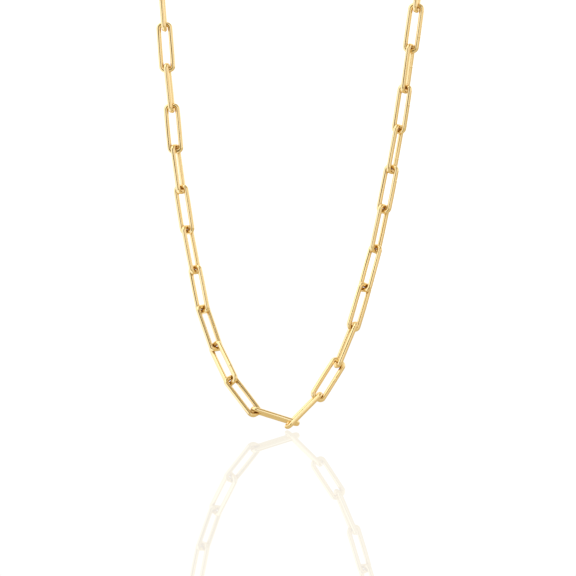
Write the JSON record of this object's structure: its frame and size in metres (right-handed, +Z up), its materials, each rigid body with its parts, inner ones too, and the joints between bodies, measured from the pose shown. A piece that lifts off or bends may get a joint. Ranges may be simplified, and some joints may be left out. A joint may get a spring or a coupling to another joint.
{
  "type": "paperclip chain necklace",
  "caption": "Closed neck chain of long oval round-wire links with a plain claw clasp, hanging from the nape in a narrow curve.",
  "frame": {"origin": "middle of the joint at the nape, where the closed chain lies on the back of the neck", "axes": "+Z up, +Y to the back of the neck, +X across the chest to the right as the front is seen"},
  "size_m": [0.076, 0.0632, 0.1819],
  "materials": {
    "gold": "polished yellow gold"
  },
  "bodies": {
    "root": {"link_1": "gold", "link_2": "gold", "link_3": "gold", "link_4": "gold", "link_5": "gold", "link_6": "gold", "link_7": "gold", "link_8": "gold", "link_9": "gold", "link_10": "gold", "link_11": "gold", "link_12": "gold", "link_13": "gold", "link_14": "gold", "link_15": "gold", "link_16": "gold", "link_17": "gold", "link_18": "gold", "link_19": "gold", "link_20": "gold", "link_21": "gold", "link_22": "gold", "link_23": "gold", "link_24": "gold", "link_25": "gold", "link_26": "gold", "link_27": "gold", "link_28": "gold", "link_29": "gold", "link_30": "gold", "link_31": "gold", "link_32": "gold", "link_33": "gold", "link_34": "gold", "link_35": "gold", "link_36": "gold", "link_37": "gold", "link_38": "gold", "link_39": "gold", "link_40": "gold", "link_41": "gold", "clasp": "gold"}
  },
  "joints": []
}
